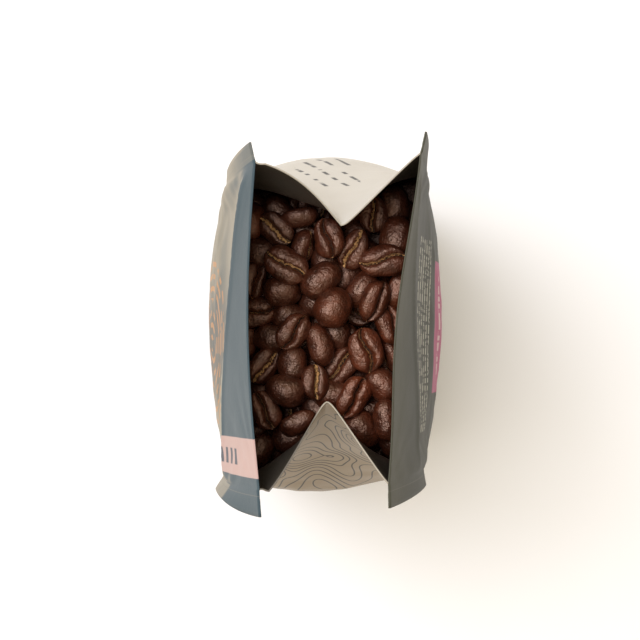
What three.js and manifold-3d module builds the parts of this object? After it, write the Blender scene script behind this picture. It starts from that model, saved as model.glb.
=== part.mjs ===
// An opened coffee bag that stands upright, full of roasted beans.
// The bag is one piece of laminated film: a front and a back panel, two side gussets whose
// centre folds are still tucked in at the mouth, a sealed fin along each of the four corners,
// and a flat base. Below the mouth the beans push every wall out.
// Millimetres, +Z up, origin at the middle of the base. The front panel faces -Y.

import * as THREE from 'three';
import { mergeVertices } from 'three/addons/utils/BufferGeometryUtils.js';
import Module from 'manifold-3d';

const wasm = await Module();
wasm.setup();

// Driving sizes of the bag
const BAG_HEIGHT = 205;
const BASE_HALF_WIDTH = 39.2; // middle of the base to a corner seam, along X
const BASE_HALF_DEPTH = 26.2; // middle of the base to a corner seam, along Y
const FRONT_BULGE = 6.4; // the middle of each side beyond the line between its seams
const RIGHT_BULGE = 7.1;
const BACK_BULGE = 6.4;
const LEFT_BULGE = 9.2;
const WALL = 0.8;
const BASE_ROUND = 4; // radius where the walls turn under to the base
const BASE_SPREAD = 50; // height over which the walls grow from the base to their full bulge
const BASE_SQUARE = 150; // height over which the seams go from the base's corners to the body's

// The four corner seams where the bag is full, seen from above
const BODY = {
  frontLeft: new THREE.Vector2(-36.8, -26.2),
  frontRight: new THREE.Vector2(41.4, -26.2),
  backRight: new THREE.Vector2(38.2, 26.2),
  backLeft: new THREE.Vector2(-39.5, 26.8),
};

// The mouth: where its four corners and the two tucked folds lie, seen from above
const MOUTH = {
  frontLeft: new THREE.Vector2(-39.9, -17.2),
  frontRight: new THREE.Vector2(40.1, -16.2),
  backRight: new THREE.Vector2(38.9, 15.4),
  backLeft: new THREE.Vector2(-42.2, 23.3),
  leftFold: new THREE.Vector2(-23.5, 4),
  rightFold: new THREE.Vector2(17.5, 0.4),
};
const FRONT_RIM_BOW = 2.35; // outwards
const BACK_RIM_BOW = -1.85; // inwards
const BACK_RIM_POWER = 2.2; // above 1 keeps the bow to the rim's middle

// How each leg of a tucked gusset bows outwards at the mouth. A skew below 1 brings the bow
// nearer the corner seam, a power below 1 makes it flatter, and it starts over the share `rise`.
const STRAIGHT_LEG = { bow: 0.4, skew: 0.6, power: 1, rise: 0.1 };
const LEFT_FRONT_LEG = { bow: 3.7, skew: 1.15, power: 0.75, rise: 0.12 };
const RIGHT_FRONT_LEG = { bow: 4, skew: 0.5, power: 1, rise: 0.15 };
const LEG_BOW_DEPTH = 20; // the bows are gone this far below the mouth
const PANEL_DIP = 1.5; // the rim's middle below its corners
const GUSSET_DIP = 5; // a tucked fold's tip below the corners
const DIP_DEPTH = 60; // the dips are gone this far below the mouth

// How far below the mouth each part of the wall reaches its full shape
const SEAM_DROP = 46;
const SEAM_EASE = 1.6;
const PANEL_DROP = 74;
const FOLD_DROP = 62; // the gusset's fold has opened to a straight line
const SWELL_DROPS = [30, 76]; // and it swells out between these
const FOLD_ROUND = [0.07, 0.6]; // rounding of the fold at the mouth and where it has opened
const SEAM_SHARE = 0.12; // width of the strip beside a seam that follows it, as a share of a panel

// Each panel opens like a cone down to a ridge across it, and only below that swells to its belly.
// `drops` are the ridge's depths at the panel's two seams, `flat` is how much of the panel keeps
// the first of them, and `shares` is how far out the ridge stands between mouth and body there.
const FRONT_RIDGE = { drops: [5, 40], flat: 0, shares: [0.28, 0.94], power: 1.8 };
const BACK_RIDGE = { drops: [27, 4], flat: 0.35, shares: [0.62, 0.05], power: 1 };

// Fins: each is the sealed edge that stands out from a corner seam. It is widest at the mouth
// and leans away from its panel by an angle that changes down to the body.
const FINS = {
  frontLeft: { mouthWidth: 4.6, bodyWidth: 3.7, mouthTurn: 14, bodyTurn: -5 },
  frontRight: { mouthWidth: 6.4, bodyWidth: 3.8, mouthTurn: -4, bodyTurn: 48 },
  backRight: { mouthWidth: 5.4, bodyWidth: 4.4, mouthTurn: 0, bodyTurn: 9 },
  backLeft: { mouthWidth: 4.8, bodyWidth: 4, mouthTurn: 13, bodyTurn: 0 },
};
const FIN_THICKNESS = 1;
const FIN_ROOT = 0.5; // how far the fin's root lies inside the seam
const FIN_TURN_DROP = 45; // depth by which a fin has turned to its lean beside the body

// The heap of beans
const HEAP_GAP = 0.6; // clear of the film
const HEAP_DROP = 34; // from the mouth down to the rim of the heap's core
const HEAP_CROWN = 5; // the middle of the core stands this much above its rim
const CROWN_TOP = 0.55; // size of the core's raised middle, as a share of its rim
const CROWN_GAP = 1.4; // the raised middle's foot is this far clear of the film
const BEAN = { length: 11.4, width: 8.5, thickness: 6, groove: 1.1, flatFace: 0.62 };
const BEAN_SPACING = 9.4;
const BEAN_SHIFT = 1.2; // most that a bean is out of its row, each way
const BEAN_RISE = 1.4; // a bean's middle above the core, and the most it differs from that
const BEAN_LIFT = 0.7;
const BEAN_ROLL = 0.65; // radians about its own length, each way
const BEAN_TIP = 0.45; // radians up or down at its ends
const BEANS_TURNED_OVER = 0.4; // share that lies with the groove below
const BEAN_SEED = 7;

// How finely the film is divided
const PANEL_STEPS = 12;
const GUSSET_STEPS = 10;
const UPPER_DROPS = [0, 6, 12, 18, 25, 32, 39, 46, 55, 65, 78];
const LOWER_HEIGHTS = [100, 70, 45, 25, 12, 4, 1.2, 0];
const SHARPEST_MITRE = 0.45; // keeps the film's inner face from running out at its folds

const lerp = THREE.MathUtils.lerp;
const clamp01 = (value) => THREE.MathUtils.clamp(value, 0, 1);
const smooth = (value) => THREE.MathUtils.smoothstep(value, 0, 1);

// Share of the way from the mouth's outline (0) to the full body's outline (1).
function eased(drop, fullDrop, power) {
  return 1 - (1 - clamp01(drop / fullDrop)) ** power;
}

// How much of its bulge a wall has at a height above the base.
function bulgeShare(height) {
  return 1 - (1 - clamp01(height / BASE_SPREAD)) ** 2;
}

// Distance by which the wall has turned in at a height, along the rounded bottom edge.
function baseTuck(height) {
  const rise = 1 - clamp01(height / BASE_ROUND);
  return BASE_ROUND * (1 - Math.sqrt(1 - rise * rise));
}

// How far a panel has opened: evenly down to its ridge, then slowly out to its belly.
function panelShare({ drops, flat, shares, power }, u, drop) {
  const crest = lerp(drops[0], drops[1], smooth((u - flat) / (1 - flat)) * flat + u * (1 - flat));
  const crestShare = lerp(shares[0], shares[1], u ** power);
  if (drop < crest) return crestShare * (drop / crest);
  return lerp(crestShare, 1, smooth((drop - crest) / (PANEL_DROP - crest)));
}

// A point of the film's outer face, on one side of the section and `drop` below the mouth.
function wallPoint(side, u, drop) {
  const height = BAG_HEIGHT - drop;
  const plan = side.fold ? gussetPlan(side, u, drop) : panelPlan(side, u, drop);
  const tuck = baseTuck(height);
  plan.multiply(new THREE.Vector2(1 - tuck / BASE_HALF_WIDTH, 1 - tuck / BASE_HALF_DEPTH));
  const dip = rimDip(side, u) * (1 - clamp01(drop / DIP_DEPTH)) ** 2;
  return new THREE.Vector3(plan.x, plan.y, height - dip);
}

// A panel goes from its rim to the line between its seams, and swells as it opens. Beside a
// seam it goes out as fast as the seam does.
function panelPlan(side, u, drop) {
  const { from, to } = fullSeams(side, BAG_HEIGHT - drop);
  const opened = panelShare(side.ridge, u, drop);
  const away = smooth(Math.min(u, 1 - u) / SEAM_SHARE);
  const share = lerp(eased(drop, SEAM_DROP, SEAM_EASE), opened, away);
  const bow = side.rimBow * Math.sin(Math.PI * u) ** side.rimPower;
  const rim = side.rimFrom.clone().lerp(side.rimTo, u).addScaledVector(side.outward, bow);
  return rim.lerp(from.lerp(to, u), share)
    .addScaledVector(side.outward, belly(side, u, drop) * opened);
}

// A gusset is a V seen from above, which opens to a straight line and then swells.
function gussetPlan(side, u, drop) {
  const full = fullSeams(side, BAG_HEIGHT - drop);
  const seamShare = eased(drop, SEAM_DROP, SEAM_EASE);
  const from = side.rimFrom.clone().lerp(full.from, seamShare);
  const to = side.rimTo.clone().lerp(full.to, seamShare);
  const opened = clamp01(drop / FOLD_DROP);
  const fold = side.fold.clone().lerp(full.from.add(full.to).multiplyScalar(0.5), opened);
  const round = lerp(...FOLD_ROUND, smooth(opened));
  const [start, end] = SWELL_DROPS;
  const swell = belly(side, u, drop) * smooth((drop - start) / (end - start));
  const bow = legBow(side, u) * (1 - smooth(drop / LEG_BOW_DEPTH));
  return fold.clone()
    .addScaledVector(from.sub(fold), softRamp(1 - 2 * u, round))
    .addScaledVector(to.sub(fold), softRamp(2 * u - 1, round))
    .addScaledVector(side.outward, swell + bow);
}

// 0 at -1 and 1 at 1: level, then rising from 0 on, with a rounded bend between the two.
function softRamp(way, round) {
  return (way + Math.hypot(way, round) + 1 - Math.hypot(1, round)) / 2;
}

// Along one leg of a tucked gusset: 0 at the seam, 1 at the fold.
function alongLeg(u) {
  return u <= 0.5 ? 2 * u : 2 - 2 * u;
}

function legBow(side, u) {
  const { bow, skew, power, rise } = u <= 0.5 ? side.firstLeg : side.lastLeg;
  const along = alongLeg(u);
  return bow * arch(along, skew, power) * clamp01(along / rise);
}

function rimDip(side, u) {
  return side.fold ? GUSSET_DIP * alongLeg(u) ** 1.4 : PANEL_DIP * Math.sin(Math.PI * u);
}

// An arch over 0 to 1, with its top moved by a skew and flattened by a power below 1.
function arch(share, skew, power) {
  return Math.max(0, Math.sin(Math.PI * share ** skew)) ** power;
}

// The two seams of a side where the bag is full, at a height above the base.
function fullSeams(side, height) {
  const square = smooth(height / BASE_SQUARE);
  return {
    from: side.baseFrom.clone().lerp(side.bodyFrom, square),
    to: side.baseTo.clone().lerp(side.bodyTo, square),
  };
}

function belly(side, u, drop) {
  return side.bulge * bulgeShare(BAG_HEIGHT - drop) * arch(u, side.bulgeSkew, side.bulgePower);
}

const baseCorner = (x, y) => new THREE.Vector2(x * BASE_HALF_WIDTH, y * BASE_HALF_DEPTH);

// The four sides of the section, counter-clockwise from above. A skew above 1 makes a side's
// bulge fuller near the end of its run, and a power below 1 makes the bulge flatter.
const SIDES = [
  {
    steps: PANEL_STEPS, ridge: FRONT_RIDGE, outward: new THREE.Vector2(0, -1),
    rimFrom: MOUTH.frontLeft, rimTo: MOUTH.frontRight,
    bodyFrom: BODY.frontLeft, bodyTo: BODY.frontRight,
    baseFrom: baseCorner(-1, -1), baseTo: baseCorner(1, -1),
    rimBow: FRONT_RIM_BOW, rimPower: 1,
    bulge: FRONT_BULGE, bulgeSkew: 0.82, bulgePower: 0.6,
  },
  {
    steps: GUSSET_STEPS, fold: MOUTH.rightFold, outward: new THREE.Vector2(1, 0),
    rimFrom: MOUTH.frontRight, rimTo: MOUTH.backRight,
    bodyFrom: BODY.frontRight, bodyTo: BODY.backRight,
    baseFrom: baseCorner(1, -1), baseTo: baseCorner(1, 1),
    firstLeg: RIGHT_FRONT_LEG, lastLeg: STRAIGHT_LEG,
    bulge: RIGHT_BULGE, bulgeSkew: 1.08, bulgePower: 0.6,
  },
  {
    steps: PANEL_STEPS, ridge: BACK_RIDGE, outward: new THREE.Vector2(0, 1),
    rimFrom: MOUTH.backRight, rimTo: MOUTH.backLeft,
    bodyFrom: BODY.backRight, bodyTo: BODY.backLeft,
    baseFrom: baseCorner(1, 1), baseTo: baseCorner(-1, 1),
    rimBow: BACK_RIM_BOW, rimPower: BACK_RIM_POWER,
    bulge: BACK_BULGE, bulgeSkew: 1.03, bulgePower: 0.5,
  },
  {
    steps: GUSSET_STEPS, fold: MOUTH.leftFold, outward: new THREE.Vector2(-1, 0),
    rimFrom: MOUTH.backLeft, rimTo: MOUTH.frontLeft,
    bodyFrom: BODY.backLeft, bodyTo: BODY.frontLeft,
    baseFrom: baseCorner(-1, 1), baseTo: baseCorner(-1, -1),
    firstLeg: STRAIGHT_LEG, lastLeg: LEFT_FRONT_LEG,
    bulge: LEFT_BULGE, bulgeSkew: 1.1, bulgePower: 0.65,
  },
];

// The closed outline of the film's outer face at one drop below the mouth.
function sectionLoop(drop) {
  const loop = [];
  for (const side of SIDES) {
    for (let i = 0; i < side.steps; i += 1) loop.push(wallPoint(side, i / side.steps, drop));
  }
  return loop;
}

// The same outline moved inwards, square to its own edges as seen from above.
function insetLoop(loop, distance) {
  const count = loop.length;
  const step = (from, to) => new THREE.Vector2(to.x - from.x, to.y - from.y).normalize();
  return loop.map((point, i) => {
    const before = step(loop[(i + count - 1) % count], point);
    const after = step(point, loop[(i + 1) % count]);
    const tangent = before.clone().add(after).normalize();
    const reach = distance / Math.max(SHARPEST_MITRE, tangent.dot(after));
    return new THREE.Vector3(point.x - tangent.y * reach, point.y + tangent.x * reach, point.z);
  });
}

// A closed solid through a stack of outlines, from the lowest up.
function loftGeometry(outlines) {
  const count = outlines[0].length;
  const positions = outlines.flatMap((outline) => outline.flatMap((point) => point.toArray()));
  const indices = [];
  for (let row = 0; row + 1 < outlines.length; row += 1) {
    for (let i = 0; i < count; i += 1) {
      const next = (i + 1) % count;
      const [a, b] = [row * count + i, row * count + next];
      const [c, d] = [a + count, b + count];
      indices.push(a, b, d, a, d, c);
    }
  }
  const lowest = THREE.ShapeUtils.triangulateShape(outlines[0], []);
  const highest = THREE.ShapeUtils.triangulateShape(outlines.at(-1), []);
  const top = (outlines.length - 1) * count;
  for (const [a, b, c] of lowest) indices.push(a, c, b);
  for (const [a, b, c] of highest) indices.push(top + a, top + b, top + c);
  const geometry = new THREE.BufferGeometry();
  geometry.setAttribute('position', new THREE.Float32BufferAttribute(positions, 3));
  geometry.setIndex(indices);
  return geometry;
}

// A three.js geometry as a manifold solid, and back again.
function solidOf(geometry) {
  const bare = geometry.clone();
  bare.deleteAttribute('normal');
  bare.deleteAttribute('uv');
  const merged = mergeVertices(bare, 1e-4);
  return new wasm.Manifold(new wasm.Mesh({
    numProp: 3,
    vertProperties: new Float32Array(merged.attributes.position.array),
    triVerts: new Uint32Array(merged.index.array),
  }));
}

function geometryOf(solid) {
  const mesh = solid.getMesh();
  const geometry = new THREE.BufferGeometry();
  geometry.setAttribute('position', new THREE.BufferAttribute(mesh.vertProperties, 3));
  geometry.setIndex(new THREE.BufferAttribute(mesh.triVerts, 1));
  geometry.computeVertexNormals();
  return geometry;
}

// A solid without the crumbs that a cut or a join can leave beside it.
function largestBody(solid) {
  return solid.decompose().sort((a, b) => b.volume() - a.volume())[0];
}

// Every drop at which the film has an outline, from the base up.
function filmDrops() {
  const lower = LOWER_HEIGHTS.map((height) => BAG_HEIGHT - height);
  return [...UPPER_DROPS, ...lower].reverse();
}

// The film without its fins: up the outside from the base, over the rim and down the inside.
function filmSolid() {
  const floorDrop = BAG_HEIGHT - WALL;
  const insideDrops = filmDrops().filter((drop) => drop < floorDrop).reverse();
  const outside = filmDrops().map(sectionLoop);
  const inside = [...insideDrops, floorDrop].map((drop) => insetLoop(sectionLoop(drop), WALL));
  return solidOf(loftGeometry([...outside, ...inside]));
}

// The space inside the film, taken in by `gap` more, up to a drop below the mouth.
function insideSolid(gap, topDrop) {
  const inset = WALL + gap;
  const floorDrop = BAG_HEIGHT - inset;
  const drops = filmDrops().filter((drop) => drop < floorDrop && drop > topDrop);
  const outlines = [floorDrop, ...drops, topDrop].map((drop) => insetLoop(sectionLoop(drop), inset));
  return solidOf(loftGeometry(outlines));
}

// A corner fin: a flat strip that follows its seam from its foot to the mouth.
function finSolid(fin, sign, panel, u) {
  const outlines = filmDrops().map((drop) => {
    const seam = wallPoint(panel, u, drop);
    const turned = smooth(drop / FIN_TURN_DROP);
    const turn = THREE.MathUtils.degToRad(lerp(fin.mouthTurn, fin.bodyTurn, turned));
    const along = new THREE.Vector3(sign * Math.cos(turn), panel.outward.y * Math.sin(turn), 0);
    const across = new THREE.Vector3(-along.y, along.x, 0).multiplyScalar(FIN_THICKNESS / 2);
    const root = seam.clone().addScaledVector(along, -FIN_ROOT);
    const tip = seam.clone().addScaledVector(along, lerp(fin.mouthWidth, fin.bodyWidth, turned));
    return [
      root.clone().sub(across), tip.clone().sub(across),
      tip.clone().add(across), root.clone().add(across),
    ];
  });
  return solidOf(loftGeometry(outlines));
}

function bagMesh() {
  const [front, , back] = SIDES;
  const fins = [
    finSolid(FINS.frontLeft, -1, front, 0),
    finSolid(FINS.frontRight, 1, front, 1),
    finSolid(FINS.backRight, 1, back, 0),
    finSolid(FINS.backLeft, -1, back, 1),
  ];
  const joined = fins.reduce((film, fin) => film.add(fin), filmSolid());
  const bag = largestBody(joined.subtract(insideSolid(0, UPPER_DROPS[1])));
  const print = new THREE.MeshStandardMaterial({ color: 0x68767a, roughness: 0.45, metalness: 0 });
  const mesh = new THREE.Mesh(geometryOf(bag), print);
  mesh.name = 'bag';
  return mesh;
}

// One roasted bean with few sides, lying along X with its grooved face up.
function beanGeometry() {
  const ringAngles = [90, 68, 20, -35, -90, -145, -200, -248];
  const stations = [-0.84, -0.34, 0.34, 0.84];
  const { length, width, thickness, groove, flatFace } = BEAN;
  const positions = [-length / 2, 0, 0];
  for (const station of stations) {
    const girth = Math.sqrt(1 - station * station);
    for (const angle of ringAngles) {
      const turn = THREE.MathUtils.degToRad(angle);
      const side = Math.cos(turn) * girth;
      const rise = Math.sin(turn) * girth;
      const flattened = rise > 0 ? rise * flatFace : rise;
      const dip = angle === 90 ? groove * girth : 0;
      positions.push((station * length) / 2, (side * width) / 2, (flattened * thickness) / 2 - dip);
    }
  }
  positions.push(length / 2, 0, 0);
  const count = ringAngles.length;
  const last = stations.length * count + 1;
  const indices = [];
  for (let i = 0; i < count; i += 1) {
    const next = (i + 1) % count;
    indices.push(0, 1 + i, 1 + next);
    indices.push(last, last - count + next, last - count + i);
    for (let row = 0; row + 1 < stations.length; row += 1) {
      const [a, b] = [1 + row * count + i, 1 + row * count + next];
      indices.push(a, a + count, b, b, a + count, b + count);
    }
  }
  const geometry = new THREE.BufferGeometry();
  geometry.setAttribute('position', new THREE.Float32BufferAttribute(positions, 3));
  geometry.setIndex(indices);
  return geometry;
}

// A seeded draw between 0 and 1.
function drawer(seed) {
  let state = seed;
  return () => {
    state = (state * 16807) % 2147483647;
    return state / 2147483647;
  };
}

// The beans' places: staggered rows over the heap, each bean turned, tipped and shifted by chance.
function beanPlaces() {
  const draw = drawer(BEAN_SEED);
  const eitherWay = (most) => (2 * draw() - 1) * most;
  const places = [];
  const rowPitch = BEAN_SPACING * Math.sin(Math.PI / 3);
  const columns = Math.ceil(BASE_HALF_WIDTH / BEAN_SPACING);
  const rows = Math.ceil(BASE_HALF_DEPTH / rowPitch);
  for (let row = -rows; row <= rows; row += 1) {
    const stagger = row % 2 === 0 ? 0 : BEAN_SPACING / 2;
    for (let column = -columns; column <= columns; column += 1) {
      const x = column * BEAN_SPACING + stagger + eitherWay(BEAN_SHIFT);
      const y = row * rowPitch + eitherWay(BEAN_SHIFT);
      const z = heapTop(x, y) + BEAN_RISE + eitherWay(BEAN_LIFT);
      const over = draw() < BEANS_TURNED_OVER ? Math.PI : 0;
      const roll = eitherWay(BEAN_ROLL) + over;
      const turn = new THREE.Euler(roll, eitherWay(BEAN_TIP), eitherWay(Math.PI), 'ZYX');
      places.push({ at: new THREE.Vector3(x, y, z), turn });
    }
  }
  return places;
}

// Height of the core's top over a point, a little lower than its brow towards the rim.
function heapTop(x, y) {
  const reach = Math.max(Math.abs(x) / BASE_HALF_WIDTH, Math.abs(y) / BASE_HALF_DEPTH);
  const mound = clamp01((1 - reach) / (1 - CROWN_TOP));
  return BAG_HEIGHT - HEAP_DROP + HEAP_CROWN * mound;
}

// The mound that the topmost beans lie on: the heap's outline drawn in towards its middle.
function crownSolid() {
  const foot = insetLoop(sectionLoop(HEAP_DROP), WALL + CROWN_GAP);
  const raised = (share, rise) => foot.map(({ x, y, z }) => (
    new THREE.Vector3(x * share, y * share, z + rise)
  ));
  return solidOf(loftGeometry([raised(1, -1), foot, raised(CROWN_TOP, HEAP_CROWN)]));
}

function beansMesh() {
  const core = insideSolid(HEAP_GAP, HEAP_DROP).add(crownSolid());
  const bean = beanGeometry();
  const pieces = beanPlaces().map(({ at, turn }) => {
    const pose = new THREE.Matrix4().makeRotationFromEuler(turn).setPosition(at);
    return solidOf(bean.clone().applyMatrix4(pose));
  });
  const room = insideSolid(HEAP_GAP, 0);
  const fused = pieces.reduce((all, piece) => all.add(piece), core).intersect(room);
  const heap = largestBody(fused);
  const roast = new THREE.MeshStandardMaterial({ color: 0x4a281c, roughness: 0.4, metalness: 0 });
  const mesh = new THREE.Mesh(geometryOf(heap), roast);
  mesh.name = 'beans';
  return mesh;
}

const coffeeBag = new THREE.Group();
coffeeBag.name = 'coffee_bag';
coffeeBag.add(bagMesh(), beansMesh());

export default coffeeBag;
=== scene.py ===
"""Looks of an opened side-gusset coffee bag full of roasted beans, seen from straight above."""

import math
from collections import namedtuple

import bmesh
import bpy
import numpy as np
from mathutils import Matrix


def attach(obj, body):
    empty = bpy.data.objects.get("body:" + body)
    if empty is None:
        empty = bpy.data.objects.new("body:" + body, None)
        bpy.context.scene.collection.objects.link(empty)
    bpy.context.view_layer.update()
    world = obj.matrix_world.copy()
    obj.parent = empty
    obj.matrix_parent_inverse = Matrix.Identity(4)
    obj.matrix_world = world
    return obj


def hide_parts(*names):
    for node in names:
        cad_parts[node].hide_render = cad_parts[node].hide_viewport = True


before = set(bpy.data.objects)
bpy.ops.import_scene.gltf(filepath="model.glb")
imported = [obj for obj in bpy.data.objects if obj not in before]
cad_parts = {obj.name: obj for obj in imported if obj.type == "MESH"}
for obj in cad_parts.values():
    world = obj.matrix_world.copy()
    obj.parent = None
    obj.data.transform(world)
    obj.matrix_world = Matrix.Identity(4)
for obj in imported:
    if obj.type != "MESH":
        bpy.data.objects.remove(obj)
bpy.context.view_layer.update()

# Sizes in millimetres, as in the CAD part. A drop is measured down from the mouth.
MM = 0.001
BAG_HEIGHT = 205.0
PANEL_LENGTH = 80.0
GUSSET_LENGTH = 54.0
BASE_HALF = np.array([39.2, 26.2])
BASE_ROUND = 4.0
# Heights by which the sides reach their full belly, and the plan its full shape
BASE_SPREAD = 50.0
BASE_SQUARE = 150.0

# The four seams in plan, on the full body and at the mouth, and the gussets' folds at the mouth
FRONT_LEFT, FRONT_RIGHT, BACK_RIGHT, BACK_LEFT = range(4)
BODY = np.array([(-36.8, -26.2), (41.4, -26.2), (38.2, 26.2), (-39.5, 26.8)])
MOUTH = np.array([(-39.9, -17.2), (40.1, -16.2), (38.9, 15.4), (-42.2, 23.3)])
LEFT_FOLD = np.array([-23.5, 4.0])
RIGHT_FOLD = np.array([17.5, 0.4])

# How a gusset opens below the mouth, and how its fold rounds off on the way
BOW_DEPTH = 20.0
FOLD_DROP = 62.0
FOLD_ROUND = (0.07, 0.6)
SWELL_DROPS = (30.0, 76.0)

# How far the rim dips between the seams, and down to which drop that is felt
PANEL_DIP = 1.5
GUSSET_DIP, GUSSET_DIP_POWER = 5.0, 1.4
DIP_DEPTH = 60.0

# How the seams and the panels open below the mouth
SEAM_DROP, SEAM_EASE = 46.0, 1.6
SEAM_SHARE = 0.12
PANEL_DROP = 74.0

# The film as it looks: thinner than the CAD part's wall
FILM = 0.35
FIN_THICKNESS = 0.5
FIN_FOOT, FIN_FOOT_TAPER = 1.5, 7.0
FIN_TURN_DROP = 45.0
FIN_WAVE, FIN_WAVE_PITCH = 3.0, 19.0
FIN_GROOVE, FIN_GROOVE_PLACE, FIN_GROOVE_WIDTH = 0.08, 0.2, 0.06

# The top of the heap of beans
HEAP_DROP = 34.0
HEAP_CROWN = 5.0
CROWN_TOP = 0.55

Side = namedtuple("Side", "first last outward bulge skew power rim_bow rim_power fold ridge legs")
Leg = namedtuple("Leg", "bow skew power rise")
Ridge = namedtuple("Ridge", "first_drop last_drop flat first_share last_share power")
Fin = namedtuple("Fin", "mouth_width body_width mouth_turn body_turn curl")

FRONT = Side(FRONT_LEFT, FRONT_RIGHT, (0, -1), 6.4, 0.82, 0.6, 2.35, 1, None,
             Ridge(5, 40, 0, 0.28, 0.94, 1.8), None)
RIGHT = Side(FRONT_RIGHT, BACK_RIGHT, (1, 0), 7.1, 1.08, 0.6, 0, 1, RIGHT_FOLD, None,
             (Leg(4.0, 0.5, 1, 0.15), Leg(0.4, 0.6, 1, 0.1)))
BACK = Side(BACK_RIGHT, BACK_LEFT, (0, 1), 6.4, 1.03, 0.5, -1.85, 2.2, None,
            Ridge(27, 4, 0.35, 0.62, 0.05, 1), None)
LEFT = Side(BACK_LEFT, FRONT_LEFT, (-1, 0), 9.2, 1.1, 0.65, 0, 1, LEFT_FOLD, None,
            (Leg(0.4, 0.6, 1, 0.1), Leg(3.7, 1.15, 0.75, 0.12)))
SIDES = [FRONT, RIGHT, BACK, LEFT]

FINS = {
    FRONT_LEFT: Fin(4.6, 3.7, 14, -5, 4),
    FRONT_RIGHT: Fin(6.4, 3.8, -4, 48, 10),
    BACK_RIGHT: Fin(5.4, 4.4, 0, 9, 6),
    BACK_LEFT: Fin(4.8, 4.0, 13, 0, 2),
}


# Curves shared by every part of the film

# Numbers that scatter the knots of the noise: steps for x, y and seed, and a spread
NOISE_STEPS, NOISE_SPREAD = (127.1, 311.7, 74.7), 43758.5453


def lerp(a, b, share):
    return a + (b - a) * share


def clamp01(value):
    return np.clip(value, 0, 1)


def smooth(value):
    value = clamp01(value)
    return value * value * (3 - 2 * value)


def rising(value, start, length):
    """0 up to start, and 1 from a length further on."""
    return smooth((value - start) / length)


def eased(drop, full, power):
    return 1 - (1 - clamp01(drop / full)) ** power


def bell(distance, width):
    return np.exp(-((distance / width) ** 2))


def value_noise(x, y, seed):
    """Smooth noise between -1 and 1, one cell to a unit of x and y."""
    x, y = np.broadcast_arrays(np.asarray(x, float), np.asarray(y, float))
    column, row = np.floor(x).astype(int), np.floor(y).astype(int)
    across, up = smooth(x - column), smooth(y - row)

    def knot(i, j):
        x_step, y_step, seed_step = NOISE_STEPS
        turn = (column + i) * x_step + (row + j) * y_step + seed * seed_step
        mixed = np.sin(turn) * NOISE_SPREAD
        return 2 * (mixed - np.floor(mixed)) - 1

    low = lerp(knot(0, 0), knot(1, 0), across)
    high = lerp(knot(0, 1), knot(1, 1), across)
    return lerp(low, high, up)


# The bag's outline

def side_length(side):
    return PANEL_LENGTH if side.fold is None else GUSSET_LENGTH


def base_tuck(height):
    rise = 1 - clamp01(height / BASE_ROUND)
    return BASE_ROUND * (1 - np.sqrt(1 - rise * rise))


def crest_drop(ridge, u):
    """How far down a panel's crest runs at each u."""
    bend = smooth((u - ridge.flat) / (1 - ridge.flat)) * ridge.flat + u * (1 - ridge.flat)
    return lerp(ridge.first_drop, ridge.last_drop, bend)


def panel_share(ridge, u, drop):
    """How far a panel has opened: evenly down to its crest, then slowly out to its belly."""
    crest = crest_drop(ridge, u)
    crest_share = lerp(ridge.first_share, ridge.last_share, u ** ridge.power)
    above = crest_share * drop / crest
    below = lerp(crest_share, 1, smooth((drop - crest) / (PANEL_DROP - crest)))
    return np.where(drop < crest, above, below)


def along_leg(u):
    return np.where(u <= 0.5, 2 * u, 2 - 2 * u)


def rim_plan(side, u):
    first, last = MOUTH[side.first], MOUTH[side.last]
    bow = side.rim_bow * np.maximum(0, np.sin(np.pi * u)) ** side.rim_power
    return lerp(first, last, u[:, None]) + np.array(side.outward) * bow[:, None]


def body_corner(corner, height):
    square = smooth(height / BASE_SQUARE)[:, None, None]
    return lerp(np.sign(BODY[corner]) * BASE_HALF, BODY[corner], square)


def belly(side, u, height):
    """How far a side's middle stands out from the line between its seams."""
    share = u[None, :, None]
    swell = np.maximum(0, np.sin(np.pi * share ** side.skew)) ** side.power
    spread = (1 - (1 - clamp01(height / BASE_SPREAD)) ** 2)[:, None, None]
    return np.array(side.outward) * side.bulge * spread * swell


def panel_plan(side, u, drop):
    height = BAG_HEIGHT - drop
    rows, columns = drop[:, None], u[None, :]
    away = smooth(np.minimum(columns, 1 - columns) / SEAM_SHARE)
    opened = panel_share(side.ridge, columns, rows)
    share = lerp(eased(rows, SEAM_DROP, SEAM_EASE), opened, away)
    first, last = body_corner(side.first, height), body_corner(side.last, height)
    chord = lerp(first, last, u[None, :, None])
    plan = lerp(rim_plan(side, u)[None], chord, share[..., None])
    return plan + belly(side, u, height) * opened[..., None]


def gusset_plan(side, u, drop):
    """A gusset is a V in plan, which opens to a straight line and then swells."""
    height = BAG_HEIGHT - drop
    seam_share = eased(drop, SEAM_DROP, SEAM_EASE)[:, None, None]
    full_first, full_last = body_corner(side.first, height), body_corner(side.last, height)
    first = lerp(MOUTH[side.first], full_first, seam_share)
    last = lerp(MOUTH[side.last], full_last, seam_share)
    opened = clamp01(drop / FOLD_DROP)
    fold = lerp(side.fold, (full_first + full_last) / 2, opened[:, None, None])
    round_off = lerp(*FOLD_ROUND, smooth(opened))[:, None]
    way = (2 * u - 1)[None, :]
    to_first, to_last = soft_ramp(-way, round_off), soft_ramp(way, round_off)
    bow = np.where(u <= 0.5, leg_bow(side.legs[0], u), leg_bow(side.legs[1], u))
    bow = bow[None, :] * (1 - smooth(drop / BOW_DEPTH))[:, None]
    start, full = SWELL_DROPS
    swelling = rising(drop, start, full - start)[:, None, None]
    point = fold + (first - fold) * to_first[..., None] + (last - fold) * to_last[..., None]
    point = point + belly(side, u, height) * swelling
    return point + np.array(side.outward) * bow[..., None]


def soft_ramp(way, round_off):
    """0 at -1 and 1 at 1, level before 0 and rising after it, with a rounded bend."""
    return (way + np.sqrt(way ** 2 + round_off ** 2) + 1 - np.sqrt(1 + round_off ** 2)) / 2


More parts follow.
